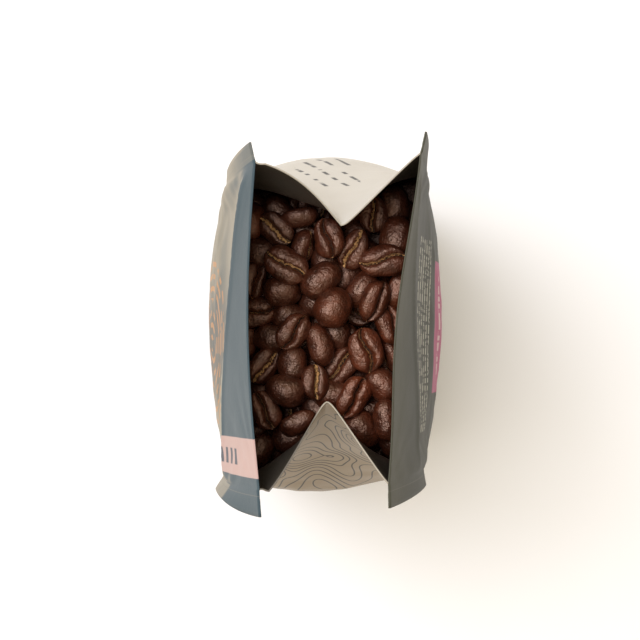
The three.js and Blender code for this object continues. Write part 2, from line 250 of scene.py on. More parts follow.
def leg_bow(leg, u):
    along = along_leg(u)
    arc = np.maximum(0, np.sin(np.pi * along ** leg.skew)) ** leg.power
    return leg.bow * arc * clamp01(along / leg.rise)


def wall_grid(side, u, drop):
    """Points of the film's outer face: a row for each drop and a column for each u."""
    height = BAG_HEIGHT - drop
    if side.fold is None:
        plan = panel_plan(side, u, drop)
        dip = PANEL_DIP * np.sin(np.pi * u)
    else:
        plan = gusset_plan(side, u, drop)
        dip = GUSSET_DIP * along_leg(u) ** GUSSET_DIP_POWER
    plan = plan * (1 - base_tuck(height)[:, None, None] / BASE_HALF)
    fade = (1 - clamp01(drop[:, None] / DIP_DEPTH)) ** 2
    z = height[:, None] - dip[None, :] * fade
    return np.concatenate([plan, z[..., None]], axis=-1)


SHARPEST_BEND = 0.45


def outward_normals(loops):
    """The level way out of the bag at every point of a stack of closed loops.

    The cosine says how much further a wall's thickness reaches where the loop bends.
    """
    before = loops - np.roll(loops, 1, axis=1)
    after = np.roll(loops, -1, axis=1) - loops
    unit = [step[..., :2] / (np.linalg.norm(step[..., :2], axis=-1, keepdims=True) + 1e-9)
            for step in (before, after)]
    tangent = unit[0] + unit[1]
    tangent /= np.linalg.norm(tangent, axis=-1, keepdims=True) + 1e-9
    cosine = np.clip((tangent * unit[1]).sum(-1, keepdims=True), SHARPEST_BEND, 1)
    normal = np.stack([tangent[..., 1], -tangent[..., 0]], axis=-1)
    return normal, cosine


# Creases and wrinkles of the film, in mm. In them a is measured along a side from its first seam,
# and d down from the mouth. A start or an end is a drop and the length of the change.

Wrinkle = namedtuple("Wrinkle", "height reach pitch slant")
PANEL_WRINKLE = Wrinkle(0.2, 9, 5.5, 7)
GUSSET_WRINKLE = Wrinkle(0.4, 7, 6, 8)
SEAM_STIFF = 1.5
CREST_HEIGHT, CREST_WIDTH = 0.45, 1.5
HOLLOW_DEPTH, HOLLOW_WIDTH, HOLLOW_BELOW = 0.35, 2.5, 3.5
FAN_HEIGHT, FAN_FOLDS, FAN_RADIUS, FAN_WIDTH = 0.14, 7, 16, 12
CREASE_DEPTH, CREASE_WIDTH = 0.3, 1.2
CREASE_START, CREASE_END = (85, 20), (150, 40)
BROAD_CRINKLE, FINE_CRINKLE = 0.30, 0.12
BEAN_BULGE, BEAN_PITCH = 0.28, 6.5
UPPER_CALM = 0.45


def seam_wrinkle(wrinkle, seam, d, seed):
    """Short wrinkles that start at a seam and die away from it."""
    reach = np.exp(-seam / wrinkle.reach) * smooth(seam / SEAM_STIFF)
    noise = value_noise(d / wrinkle.pitch + seam / wrinkle.slant, seam / 30, seed)
    return wrinkle.height * reach * noise


def corner_fan(seam, d, seed):
    """Fine folds that spread like a fan from a top corner."""
    turn = np.arctan2(d + 2, seam + 1)
    ring = bell(np.hypot(d, seam) - FAN_RADIUS, FAN_WIDTH)
    return FAN_HEIGHT * value_noise(turn * FAN_FOLDS, seed, seed) * ring


def panel_relief(ridge, u, drop):
    """A raised crest with a hollow below it, and wrinkles beside both seams."""
    a, d = u[None, :] * PANEL_LENGTH, drop[:, None]
    crest = crest_drop(ridge, u)[None, :]
    inner = smooth(u[None, :] / SEAM_SHARE) * smooth((1 - u[None, :]) / SEAM_SHARE)
    relief = CREST_HEIGHT * bell(d - crest, CREST_WIDTH) * inner
    relief = relief - HOLLOW_DEPTH * bell(d - crest - HOLLOW_BELOW, HOLLOW_WIDTH) * inner
    for seam, seed in ((a, 3), (PANEL_LENGTH - a, 8)):
        relief = relief + seam_wrinkle(PANEL_WRINKLE, seam, d, seed)
        relief = relief + corner_fan(seam, d, seed)
    return relief


def gusset_relief(u, drop):
    """What is left of the fold down the middle, and wrinkles beside both seams."""
    a, d = u[None, :] * GUSSET_LENGTH, drop[:, None]
    fold = np.abs(a - GUSSET_LENGTH / 2)
    relief = -CREASE_DEPTH * bell(fold, CREASE_WIDTH)
    relief = relief * rising(d, *CREASE_START) * (1 - rising(d, *CREASE_END))
    for seam, seed in ((a, 5), (GUSSET_LENGTH - a, 6)):
        relief = relief + seam_wrinkle(GUSSET_WRINKLE, seam, d, seed)
    return relief


def common_relief(side_seed, a, d):
    """Soft crinkles, and the beans that show through the film below the heap's top."""
    crinkle = BROAD_CRINKLE * value_noise(a / 17 + d / 40, d / 26, side_seed)
    crinkle = crinkle + FINE_CRINKLE * value_noise(a / 6 - d / 15, d / 9, side_seed + 20)
    beans = BEAN_BULGE * value_noise(a / BEAN_PITCH, d / BEAN_PITCH, side_seed + 40) ** 2
    packed = rising(d, HEAP_DROP, 25) * smooth((BAG_HEIGHT - 6 - d) / 15)
    return crinkle * smooth(d / 12) * smooth((BAG_HEIGHT - d) / 12) + beans * packed


def side_relief(index, u, drop):
    """All of one side's relief: calmed beside its seams and, on a panel, near the mouth."""
    side = SIDES[index]
    if side.fold is None:
        shaped, top_calm = panel_relief(side.ridge, u, drop), UPPER_CALM
    else:
        shaped, top_calm = gusset_relief(u, drop), 1.0
    a, d = (u * side_length(side))[None, :], drop[:, None]
    seam_calm = smooth(np.minimum(u, 1 - u) * side_length(side) / 4)[None, :]
    calm = seam_calm * lerp(top_calm, 1, rising(d, 20, 30))
    return shaped + common_relief(index * 3 + 1, a, d) * calm


# Drops at which the film's fine rows and its coarse rows end, and the heights of its lowest rows
FINE_END, COARSE_END = 76, 192
LOW_HEIGHTS = np.array([12, 10, 8, 6.5, 5, 4, 3.2, 2.4, 1.8, 1.2, 0.7, 0.3, 0])
PANEL_COLUMNS, PANEL_GATHER = 73, 0.07
GUSSET_COLUMNS, GUSSET_GATHER = 57, 0.03


def film_drops():
    """Drops of the film's rows: 1 mm apart where it is creased, then 2 mm, then the base's edge."""
    return np.concatenate([np.arange(0, FINE_END, 1.0), np.arange(FINE_END, COARSE_END, 2.0),
                           BAG_HEIGHT - LOW_HEIGHTS])


def side_steps(side):
    """Where a side's columns lie: closer together beside its seams and at its fold."""
    if side.fold is None:
        t = np.linspace(0, 1, PANEL_COLUMNS)
        return t - PANEL_GATHER * np.sin(2 * np.pi * t)
    t = np.linspace(0, 1, GUSSET_COLUMNS)
    return t - GUSSET_GATHER * np.sin(4 * np.pi * t)


def body_loops(drop):
    """The film's outer face without fins: closed loops, and each column's side and place."""
    steps = [side_steps(side)[:-1] for side in SIDES]
    loops = np.concatenate([wall_grid(side, u, drop) for side, u in zip(SIDES, steps)], axis=1)
    normal, _ = outward_normals(loops)
    relief = np.concatenate([side_relief(index, u, drop) for index, u in enumerate(steps)], axis=1)
    relief = relief * (smooth((BAG_HEIGHT - drop) / 8) * smooth(drop / 6))[:, None]
    loops[..., :2] += normal * relief[..., None]
    side_of = np.repeat(np.arange(len(SIDES)), [len(u) for u in steps])
    place = np.concatenate([u * side_length(side) for side, u in zip(SIDES, steps)])
    return loops, side_of, place


# The film as one closed mesh

FIN_COLUMNS = np.array([0.0, 0.12, 0.24, 0.4, 0.6, 0.8, 1.0])
# Material zones: the sides have the numbers 0 to 3 of SIDES
INSIDE_ZONE, EDGE_ZONE = 4, 5
# Of the outer face's rows, the inner face has the first ones, then one in six but for the last
INNER_FINE_ROWS, INNER_STEP, INNER_END = 60, 6, 8
BASE_RINGS, FLOOR_RINGS = 9, 4
FLOOR_RISE = 0.4
UV_SCALE = 100


def fin_faces(corner, seam, drop):
    """The two faces of a corner fin, each with a column for every step out from the seam."""
    fin = FINS[corner]
    outward_y = -1 if corner in (FRONT_LEFT, FRONT_RIGHT) else 1
    sign = 1 if corner in (FRONT_RIGHT, BACK_RIGHT) else -1
    turned = smooth(drop / FIN_TURN_DROP)
    height = BAG_HEIGHT - drop
    foot = rising(height, FIN_FOOT, FIN_FOOT_TAPER)
    width = lerp(fin.mouth_width, fin.body_width, turned) * foot
    wave = FIN_WAVE * value_noise(drop / FIN_WAVE_PITCH, 0, corner + 60)
    tip = seam.copy()
    front, back = [], []
    last_share = 0.0
    for share in FIN_COLUMNS:
        angle = np.radians(lerp(fin.mouth_turn, fin.body_turn, turned) + wave * share
                           + fin.curl * (share ** 2 - 0.3) * turned)
        along = np.stack([sign * np.cos(angle), outward_y * np.sin(angle), 0 * angle], -1)
        across = np.stack([-sign * along[:, 1], sign * along[:, 0], 0 * angle], -1) * outward_y
        tip = tip + along * (width * (share - last_share))[:, None]
        last_share = share
        groove = FIN_GROOVE * bell(share - FIN_GROOVE_PLACE, FIN_GROOVE_WIDTH)
        half = (FIN_THICKNESS / 2 - groove) * foot[:, None]
        front.append(tip + across * half)
        back.append(tip - across * half)
    return np.stack(front, 1), np.stack(back, 1), width


def film_columns():
    """The outer face with its fins, by column: points, side and millimetres along the side."""
    drop = film_drops()
    body, side_of, place = body_loops(drop)
    corners = [int(np.argmax(side_of == index)) for index in range(4)]
    columns, zone, along = [], [], []

    def add(points, side, where):
        columns.append(points)
        zone.append(side)
        along.append(where)

    for index, (start, stop) in enumerate(zip(corners, corners[1:] + [body.shape[1]])):
        front, back, width = fin_faces(index, body[:, start], drop)
        first, second = (front, back) if index in (FRONT_RIGHT, BACK_LEFT) else (back, front)
        before = (index - 1) % 4
        for step, share in enumerate(FIN_COLUMNS):
            add(first[:, step], before, side_length(SIDES[before]) + width * share)
        for step in reversed(range(len(FIN_COLUMNS))):
            add(second[:, step], index, -width * FIN_COLUMNS[step])
        for column in range(start + 1, stop):
            add(body[:, column], index, np.full(len(drop), place[column]))
    return drop, body, corners, np.stack(columns, 1), zone, np.stack(along, 1)


def closing_rings(loop, z, count):
    """Rings from a loop in towards its middle, for a flat end."""
    middle = loop[:, :2].mean(0)
    rings = []
    for share in np.linspace(1, 0.02, count)[1:]:
        ring = loop.copy()
        ring[:, :2] = lerp(middle, loop[:, :2], share)
        ring[:, 2] = z
        rings.append(ring)
    return rings


def ring_faces(rings, around, start=0, flip=False):
    """The faces between neighbouring rings of a stack, each ring closed on itself."""
    faces = []
    for ring in range(rings - 1):
        for i in range(around):
            a = start + ring * around + i
            b = start + ring * around + (i + 1) % around
            faces.append((a, a + around, b + around, b) if flip
                         else (a, b, b + around, a + around))
    return faces


def last_ring(rings, around, start=0):
    return tuple(start + (rings - 1) * around + i for i in range(around))


def build_film():
    """Outer face and base, inner face and floor, and the cut edge that joins them at the mouth."""
    drop, body, corners, outer, zone, along = film_columns()
    rows, across = outer.shape[:2]
    normal, cosine = outward_normals(body)
    inner_rows = np.concatenate([np.arange(0, INNER_FINE_ROWS),
                                 np.arange(INNER_FINE_ROWS, rows - INNER_END, INNER_STEP)])
    inner = body[inner_rows].copy()
    inner[..., :2] -= normal[inner_rows] * FILM / cosine[inner_rows]
    around = body.shape[1]
    base = closing_rings(outer[-1], 0.0, BASE_RINGS)
    floor = closing_rings(inner[-1], FILM + FLOOR_RISE, FLOOR_RINGS)
    points = np.concatenate([outer.reshape(-1, 3), *base, inner.reshape(-1, 3), *floor])
    outer_rings, inner_rings = rows + len(base), len(inner_rows) + len(floor)
    inner_start = outer_rings * across

    uv_u = np.concatenate([along.reshape(-1), *[along[-1]] * len(base),
                           np.zeros(around * inner_rings)])
    uv_v = np.concatenate([np.repeat(BAG_HEIGHT - drop, across), np.zeros(across * len(base)),
                           np.repeat(BAG_HEIGHT - drop[inner_rows], around),
                           np.zeros(around * len(floor))])

    faces = ring_faces(outer_rings, across, flip=True)
    faces.append(last_ring(outer_rings, across)[::-1])
    faces += ring_faces(inner_rings, around, inner_start)
    faces.append(last_ring(inner_rings, around, inner_start))
    zones = [side if side == following else EDGE_ZONE
             for side, following in zip(zone, zone[1:] + zone[:1])] * (outer_rings - 1)
    zones += [0] + [INSIDE_ZONE] * ((inner_rings - 1) * around + 1)
    rim, rim_zones, rim_print = rim_faces(corners, inner_start, around)
    printed = faces + rim_print

    mesh = bpy.data.meshes.new("bag_film")
    mesh.from_pydata((points * MM).tolist(), [], faces + rim)
    mesh.polygons.foreach_set("material_index", np.array(zones + rim_zones, np.int32))
    uv = np.stack([uv_u, uv_v], -1)[np.array([v for face in printed for v in face])] / UV_SCALE
    mesh.uv_layers.new(name="film").data.foreach_set("uv", uv.reshape(-1))
    tidy_mesh(mesh)
    return mesh


def rim_faces(corners, inner_start, inner_count):
    """The cut edge along the mouth and the tops of the fins.

    Besides its points, each face has the outer points whose place in the print it takes.
    """
    faces, zones, printed = [], [], []
    steps = len(FIN_COLUMNS)
    column = 0
    for index in range(4):
        panel = 0 if index in (FRONT_LEFT, FRONT_RIGHT) else 2
        panel_first = index in (FRONT_RIGHT, BACK_LEFT)
        last = column + 2 * steps - 1
        for step in range(steps - 1):
            near, far = column + step, last - step
            faces.append((near, near + 1, far - 1, far))
            printed.append((near, near + 1, near + 1, near) if panel_first
                           else (far, far - 1, far - 1, far))
        faces.append((column, last, inner_start + corners[index]))
        printed.append((column,) * 3 if panel_first else (last,) * 3)
        zones += [panel] * steps
        stop = corners[index + 1] if index < 3 else inner_count
        following_column = (last + stop - corners[index]) if index < 3 else 0
        outer_column = last
        for inner_column in range(corners[index], stop):
            at_end = inner_column + 1 == stop
            next_outer = following_column if at_end else outer_column + 1
            next_inner = (inner_column + 1) % inner_count
            faces.append((outer_column, next_outer, inner_start + next_inner,
                          inner_start + inner_column))
            printed.append((outer_column, next_outer, next_outer, outer_column))
            zones.append(index if SIDES[index].fold is None else EDGE_ZONE)
            outer_column += 1
        column = following_column
    return faces, zones, printed


def tidy_mesh(mesh):
    """Merges points that coincide, so the mesh is closed, and faces every side outwards."""
    work = bmesh.new()
    work.from_mesh(mesh)
    bmesh.ops.remove_doubles(work, verts=work.verts, dist=0.002 * MM)
    bmesh.ops.dissolve_degenerate(work, edges=work.edges, dist=0.001 * MM)
    bmesh.ops.recalc_face_normals(work, faces=work.faces)
    for face in work.faces:
        face.smooth = True
    work.to_mesh(mesh)
    work.free()


# Beans

Bean = namedtuple("Bean", "x y sink length width heading roll tip tone")

# The beans on top, each named by where its middle lies, how deep, and how it is turned:
# heading is the way of its length, a roll of 0 has the cut facing up and 180 the round back.
# tone is how light a bean's brown is: partly its own roast, partly painted shade, lower for beans that
# lie deeper and near the walls.
TOP_BEANS = [
    Bean(-22.0, 1.3, 0, 10.4, 8.0, 190, 20, 0, 0.55),
    Bean(-19.6, 6.8, 1, 10.8, 7.6, 155, 25, 8, 0.45),
    Bean(-17.3, 14.8, 0, 11.9, 8.3, 98, 8, 0, 0.55),
    Bean(-15.5, -9.4, 0, 12.0, 8.8, 56, 4, 0, 0.40),
    Bean(-25.8, -12.5, 1, 10.2, 7.6, 50, -20, 0, 0.20),
    Bean(-29.6, -7.1, 2, 9.6, 6.8, 100, 100, 0, 0.25),
    Bean(-26.5, -5.9, 4, 9.6, 7.6, 70, 30, 0, 0.20),
    Bean(-20.3, -5.2, 3, 9.8, 7.0, 165, -70, 10, 0.40),
    Bean(-11.7, -1.4, 2, 11.4, 8.4, 125, 170, 0, 0.40),
    Bean(-4.6, 1.7, 0, 10.6, 9.6, 150, 180, 0, 0.60),
    Bean(-12.4, 6.4, 5, 10.0, 7.6, 150, 160, 0, 0.30),
    Bean(-9.3, 9.3, 2, 10.2, 7.4, 145, 150, 0, 0.50),
    Bean(-5.9, 13.1, 0, 11.0, 8.0, 155, -40, 0, 0.60),
    Bean(-24.0, 17.7, 2, 10.6, 8.6, 175, 180, 0, 0.45),
    Bean(-29.4, 13.6, 2, 10.0, 7.4, 185, 10, 0, 0.30),
    Bean(-31.0, 17.7, 5, 10.0, 7.6, 190, 150, 0, 0.20),
    Bean(-9.3, 18.0, 3, 10.4, 8.0, 160, 120, 0, 0.75),
    Bean(-11.1, -17.4, 2, 9.4, 7.0, 175, -35, 0, 0.30),
    Bean(-8.0, -12.5, 3, 9.6, 8.2, 90, 175, 0, 0.30),
    Bean(-4.7, -16.6, 2, 10.2, 7.8, 105, 15, 0, 0.35),
    Bean(-26.5, -18.3, 4, 10.0, 8.0, 170, 160, 0, 0.65),
    Bean(-19.6, -17.3, 5, 9.8, 8.2, 80, 170, 0, 0.20),
    Bean(-36.8, -16.6, 6, 10.6, 8.6, 60, 165, 0, 0.20),
    Bean(-31.5, -12.1, 5, 10.4, 8.2, 40, 175, 0, 0.15),
    Bean(1.8, -8.0, 1, 10.6, 7.8, 140, -20, 0, 0.45),
    Bean(5.1, -1.6, 1, 11.6, 7.2, 193, 140, 0, 0.45),
    Bean(2.6, 3.6, 5, 10.0, 7.6, 20, 150, 0, 0.25),
    Bean(6.7, 9.9, 0, 11.6, 9.0, 190, -4, 0, 0.85),
    Bean(0.3, 16.2, 1, 10.8, 7.8, 200, -35, 0, 0.80),
    Bean(10.2, -15.3, 2, 10.2, 7.4, 145, -25, 0, 0.35),
    Bean(10.6, -9.2, 1, 9.8, 7.8, 180, 180, 0, 0.35),
    Bean(17.4, -10.0, 3, 10.4, 8.0, 250, 165, 0, 0.30),
    Bean(14.9, -2.1, 0, 9.0, 7.4, 185, -25, 0, 0.40),
    Bean(10.6, 4.4, 3, 10.8, 7.8, 140, 10, 0, 0.50),
    Bean(18.4, 7.0, 0, 11.2, 7.8, 150, -18, 0, 0.95),
    Bean(16.0, 14.6, 2, 9.8, 7.6, 40, 170, 0, 0.70),
    Bean(24.2, 14.8, 1, 11.2, 6.6, 185, 180, 0, 0.60),
    Bean(28.3, 11.0, 2, 10.8, 9.2, 45, 170, 0, 0.55),
    Bean(21.6, -15.3, 1, 10.4, 7.8, 208, 4, 0, 0.40),
    Bean(25.7, -17.0, 4, 10.0, 7.8, 150, 20, 0, 0.35),
    Bean(25.0, -7.1, 1, 10.0, 6.8, 112, 120, 0, 0.40),
    Bean(18.4, -7.5, 5, 10.0, 7.8, 110, 140, 0, 0.30),
    Bean(29.1, -9.5, 5, 10.4, 8.0, 100, 160, 0, 0.20),
    Bean(18.4, 1.5, 5, 10.4, 8.0, 80, 170, 0, 0.45),
    Bean(20.1, -3.1, 6, 10.0, 7.8, 30, 160, 0, 0.30),
    Bean(7.7, 16.2, 4, 10.2, 7.8, 200, 60, 0, 0.60),
    Bean(4.1, -18.6, 4, 10.4, 8.0, 170, 170, 0, 0.45),
    Bean(3.2, -15.3, 5, 10.4, 8.2, 80, 170, 0, 0.20),
    Bean(31.5, 16.7, 5, 10.2, 8.0, 30, 160, 0, 0.30),
    Bean(31.9, -17.0, 5, 10.4, 7.8, 150, 150, 0, 0.30),
    Bean(20.1, 10.9, 6, 10.0, 7.8, 90, 30, 0, 0.20),
    Bean(-4.7, -3.9, 5, 10.2, 8.0, 100, 150, 0, 0.25),
    Bean(-2.7, -7.5, 5, 10.0, 8.2, 60, 165, 0, 0.25),
    Bean(-33.5, 5.5, 6, 10.2, 8.0, 120, 170, 0, 0.20),
    Bean(-18.0, 11.0, 6, 10.0, 8.0, 30, 160, 0, 0.20),
]
BEAN_SEED = 11

# A bean's build: its thickness to its width, the cut face and the round back to its thickness,
# where its lobes stand to half its width, and how full its outlines are
BEAN_THICKNESS = 0.72
CUT_FACE_RISE, DOME_DEPTH = 0.27, 0.73
LOBE_PLACE, LOBE_WIDTH = 0.42, 0.22
GIRTH_POWER, LIP_POWER, DOME_POWER = 2.9, 2.8, 0.92
# Its cut and lobes in mm, and how far from the cut it is still measured
CUT_DEPTH, CUT_WIDTH, CUT_POWER = 1.9, 0.3, 1.4
LOBE_HEIGHT, LOBE_ROLL, LOBE_ROLL_WIDTH = 0.3, 0.55, 0.9
CUT_REACH = 3.0
END_SINK, END_FROM_CUT = 0.2, 0.3
# Steps from the cut out to the rim, rings along the bean, and steps round its back
FINE_GRID = (np.array([0, 0.05, 0.1, 0.16, 0.24, 0.36, 0.54, 0.74, 0.9]), 34, 16)
COARSE_GRID = (np.array([0, 0.12, 0.5, 0.85]), 12, 8)

# The hidden beans that fill the gaps, in rows, with the ranges that their sizes are drawn from
FILL_SINK, FILL_SPACING = 7.5, 9.0
# Their tones are drawn lower than those of the top beans, which paints in shade.
FILL_LENGTH, FILL_WIDTH, FILL_TONE = (9.6, 11.4), (7.4, 8.6), (0.1, 0.5)
FILL_TIP = 25

# How beans push each other and keep off the film while they settle
BEAN_RISE = 1.5
BALL_FIT = 0.94
BEAN_PUSH, LEVEL_SHARE, FILM_PUSH, STEP_SHARE = 0.22, 0.55, 0.6, 1.6
WALL_FIT, WALL_GAP = 1.08, 0.5
TOP_SINK, TOP_FREEDOM = 6.8, 0.35
WALL_STEP = 2
WALL_DROPS = np.arange(14.0, 60.0, WALL_STEP)

# The core below the beans: its top, what it keeps clear of the film, and its tone
CORE_DROP, CORE_CLEAR, CORE_TONE = 44, 0.7, 0.1
CORE_MOUND, CORE_LUMP = 3, 1.2


def heap_top(x, y):
    reach = np.maximum(np.abs(x) / BASE_HALF[0], np.abs(y) / BASE_HALF[1])
    mound = clamp01((1 - reach) / (1 - CROWN_TOP))
    return BAG_HEIGHT - HEAP_DROP + HEAP_CROWN * mound


def fill_beans(draw):
    """Rows of beans at random turns below the top ones."""
    beans = []
    row_pitch = FILL_SPACING * math.sin(math.pi / 3)
    for row in range(-3, 4):
        for column in range(-4, 5):
            x = (column + 0.5 * (row % 2)) * FILL_SPACING + draw.uniform(-1, 1)
            y = row * row_pitch + draw.uniform(-1, 1)
            beans.append(Bean(x, y, FILL_SINK + draw.uniform(-1, 1), draw.uniform(*FILL_LENGTH),
                              draw.uniform(*FILL_WIDTH), draw.uniform(0, 360),
                              draw.uniform(0, 360), draw.uniform(-FILL_TIP, FILL_TIP),
                              draw.uniform(*FILL_TONE)))
    return beans


def bean_axes(bean):
    """Unit vectors along a bean's length, its width and out of its cut face."""
    heading, roll, tip = (math.radians(angle) for angle in (bean.heading, -bean.roll, bean.tip))
    length = np.array([math.cos(heading) * math.cos(tip), math.sin(heading) * math.cos(tip),
                       math.sin(tip)])
    level = np.array([-math.sin(heading), math.cos(heading), 0.0])
    up = np.cross(length, level)
    width = math.cos(roll) * level + math.sin(roll) * up
    return length, width, np.cross(length, width)


def push_apart(balls, radius, owner):
    """How balls that meet push each other, unless they belong to one bean."""
    gap = balls[:, None] - balls[None]
    distance = np.linalg.norm(gap, axis=-1) + 1e-6
    overlap = np.maximum(0, radius[:, None] + radius[None] - distance)
    overlap[owner[:, None] == owner[None]] = 0
    push = (gap / distance[..., None] * overlap[..., None]).sum(1) * BEAN_PUSH
    push[:, :2] *= LEVEL_SHARE
    return push


def push_inwards(balls, radius, loops, normal):
    """How the film pushes balls that come too near it, in plan."""
    row = ((BAG_HEIGHT - balls[:, 2] - WALL_DROPS[0]) / WALL_STEP).astype(int)
    row = np.clip(row, 0, len(WALL_DROPS) - 1)
    offset = balls[:, None, :2] - loops[row][..., :2]
    inside = -(offset * normal[row]).sum(-1)
    picked = np.arange(len(balls)), np.argmin(np.linalg.norm(offset, axis=-1), axis=1)
    short = radius * WALL_FIT + FILM + WALL_GAP - inside[picked]
    return normal[row][picked] * np.maximum(0, short)[:, None] * FILM_PUSH


def settle(beans, steps=60):
    """Moves beans apart, and off the film, until their bodies hardly meet.

    For this each bean is three balls in a row, and the beans that lie on top move less.
    """
    radius = np.array([0.5 * (0.5 * bean.width * (1 + BEAN_THICKNESS)) for bean in beans])
    middle = np.array([(bean.x, bean.y, heap_top(bean.x, bean.y) + BEAN_RISE - bean.sink)
                       for bean in beans])
    axis = np.array([bean_axes(bean)[0] for bean in beans])
    reach = np.array([bean.length for bean in beans]) / 2 - radius
    spread = np.array([-1.0, 0.0, 1.0])
    owner = np.repeat(np.arange(len(beans)), len(spread))
    ball = np.repeat(radius, len(spread)) * BALL_FIT
    freedom = np.where([bean.sink < TOP_SINK for bean in beans], TOP_FREEDOM, 1.0)
    loops = body_loops(WALL_DROPS)[0][:, ::4]
    normal, _ = outward_normals(loops)
    for _ in range(steps):
        balls = (middle[:, None] + axis[:, None] * (spread[None, :, None]
                 * reach[:, None, None])).reshape(-1, 3)
        push = push_apart(balls, ball, owner)
        push[:, :2] -= push_inwards(balls, ball, loops, normal)
        move = np.zeros_like(middle)
        np.add.at(move, owner, push / len(spread) * STEP_SHARE)
        middle += move * freedom[:, None]
    return middle


def bean_points(bean, grid, draw, seed):
    """One bean's grid of points about its middle, with each one's distance from the cut and side."""
    steps, rings, dome_steps = grid
    edge = np.concatenate([[-1.0], -steps[:0:-1], steps, [1.0]])
    dome = np.radians(np.linspace(0, 180, dome_steps))[1:-1]
    t = np.cos(np.linspace(np.pi, 0, rings + 2))[1:-1]
    bend = draw.uniform(-0.1, 0.1)
    sway = draw.uniform(0.1, 0.26) * draw.choice([-1, 1])
    phase = draw.uniform(-0.5, 0.5)
    cut_width = CUT_WIDTH * draw.uniform(0.7, 1.3)
    girth = (1 - np.abs(t) ** GIRTH_POWER) ** 0.5
    thick, half_width = bean.width * BEAN_THICKNESS, bean.width / 2
    lip = np.sqrt(np.maximum(0, 1 - np.abs(edge) ** LIP_POWER))
    lobes = LOBE_HEIGHT * bell(np.abs(edge) - LOBE_PLACE, LOBE_WIDTH)
    points, distance = [], []
    for along, wide in zip(t, girth * (1 + bend * t)):
        jagged = 0.05 * value_noise(along * 6, seed, 3) + 0.03 * value_noise(along * 15, seed, 4)
        across = edge + (sway * math.sin(2.4 * along + phase) + jagged) * (1 - edge ** 2)
        from_cut = np.abs(edge) * half_width * max(wide, 0.3)
        cut_in = CUT_DEPTH * np.exp(-(from_cut / cut_width) ** CUT_POWER)
        roll_in = LOBE_ROLL * np.exp(-from_cut / LOBE_ROLL_WIDTH)
        face = (CUT_FACE_RISE * thick * lip + lobes) * wide - (cut_in + roll_in) * min(1, wide * 1.4)
        back = -np.sin(dome) ** DOME_POWER * DOME_DEPTH * thick * wide
        y = np.concatenate([across, np.cos(dome)]) * half_width * wide
        z = np.concatenate([face, back])
        points.append(np.stack([np.full(len(y), along * bean.length / 2), y, z], -1))
        distance.append(np.concatenate([from_cut, np.full(len(dome), CUT_REACH)]))
    lean = np.tile(np.concatenate([np.sign(edge), np.zeros(len(dome))]), (rings, 1))
    return np.array(points), np.minimum(np.array(distance), CUT_REACH), lean


def wrinkle(points, seed):
    """Broad dents, and furrows that run along the bean."""
    x, y, z = points[..., 0], points[..., 1], points[..., 2]
    radial = points / (np.linalg.norm(points, axis=-1, keepdims=True) + 1e-6)
    turn = np.arctan2(z, y)
    lumps = 0.26 * value_noise(x / 3.2 + seed, turn * 1.1, seed)
    furrow = 0.10 * value_noise(x / 1.5, turn * 3.5 + seed, seed + 5)
    return points + radial * (lumps + furrow)[..., None]


def bean_shape(bean, middle, grid, draw, seed):
    """One closed bean in the row frame: points, faces, distance from the cut and its side."""
    points, distance, lean = bean_points(bean, grid, draw, seed)
    points = wrinkle(points, seed)
    rings, around = points.shape[:2]
    ends = np.array([[-bean.length / 2, 0, -END_SINK], [bean.length / 2, 0, -END_SINK]])
    points = np.concatenate([points.reshape(-1, 3), ends])
    faces = ring_faces(rings, around)
    first, last = len(points) - 2, len(points) - 1
    for i in range(around):
        j = (i + 1) % around
        faces.append((first, j, i))
        faces.append((last, (rings - 1) * around + i, (rings - 1) * around + j))
    distance = np.concatenate([distance.reshape(-1), [END_FROM_CUT] * 2])
    lean = np.concatenate([lean.reshape(-1), [0, 0]])
    return points @ np.array(bean_axes(bean)) + middle, faces, distance, lean


def core_shape():
    """What lies below the beans that show: the bag's inside, up to a lumpy top."""
    drop = np.concatenate([np.arange(CORE_DROP, 200, 8.0), [201.0, 203.0]])
    loops = body_loops(drop)[0][:, ::4]
    normal, cosine = outward_normals(loops)
    loops[..., :2] -= normal * (FILM + CORE_CLEAR) / cosine
    middle = loops[0, :, :2].mean(0)
    top = []
    for share in (0.03, 0.2, 0.4, 0.6, 0.8, 0.95):
        ring = loops[0].copy()
        ring[:, :2] = lerp(middle, loops[0, :, :2], share)
        lump = value_noise(ring[:, 0] / 5, ring[:, 1] / 5, 2)
        ring[:, 2] = BAG_HEIGHT - CORE_DROP + CORE_MOUND * (1 - share) + CORE_LUMP * lump
        top.append(ring)
    stack = np.concatenate([np.array(top), loops])
    rings, around = stack.shape[:2]
    faces = [last_ring(1, around)] + ring_faces(rings, around, flip=True)
    faces.append(last_ring(rings, around)[::-1])
    return stack.reshape(-1, 3), faces


def build_beans():
    """The beans on their core, with what the bean material needs to know of each point."""
    draw = np.random.default_rng(BEAN_SEED)
    beans = TOP_BEANS + fill_beans(draw)
    core, faces = core_shape()
    points, total = [core], len(core)
    layers = {"cut": [np.full(total, CUT_REACH)], "lean": [np.zeros(total)],
              "tone": [np.full(total, CORE_TONE)], "chaff": [np.zeros(total)]}
    for index, (bean, middle) in enumerate(zip(beans, settle(beans))):
        grid = FINE_GRID if index < len(TOP_BEANS) else COARSE_GRID
        shape, sides, distance, lean = bean_shape(bean, middle, grid, draw, index)
        points.append(shape)
        faces += [tuple(v + total for v in side) for side in sides]
        layers["cut"].append(distance)
        layers["lean"].append(lean * draw.choice([-1, 1]))
        layers["tone"].append(np.full(len(shape), bean.tone))
        layers["chaff"].append(np.full(len(shape), draw.uniform(0.5, 1)))
        total += len(shape)
    mesh = bpy.data.meshes.new("bean_heap")
    mesh.from_pydata((np.concatenate(points) * MM).tolist(), [], faces)
    for name, values in layers.items():
        layer = mesh.attributes.new(name, "FLOAT", "POINT")
        layer.data.foreach_set("value", np.concatenate(values).astype(np.float32))
    for polygon in mesh.polygons:
        polygon.use_smooth = True
    return mesh


# Materials

